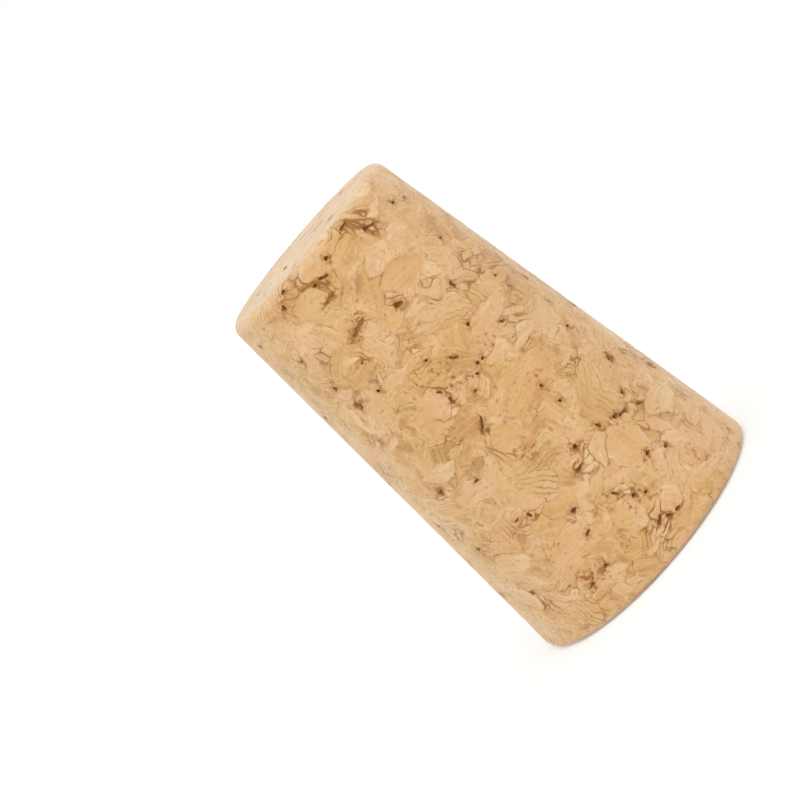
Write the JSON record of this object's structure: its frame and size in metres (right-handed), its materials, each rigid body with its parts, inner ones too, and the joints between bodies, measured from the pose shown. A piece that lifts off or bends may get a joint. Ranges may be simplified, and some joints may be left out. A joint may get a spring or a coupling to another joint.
{
  "type": "cork stopper",
  "caption": "Tapered stopper of agglomerated cork, round and solid, with worn rims and small voids between its granules.",
  "frame": {"origin": "centre of the wide end face, on which the stopper stands", "axes": "+Z along the stopper's axis, from the wide end to the narrow end; -Y is the side shown in the picture"},
  "size_m": [0.0228, 0.0228, 0.0355],
  "materials": {
    "cork": "ground agglomerated cork, matte"
  },
  "bodies": {
    "root": {"cork_stopper": "cork"}
  },
  "joints": []
}
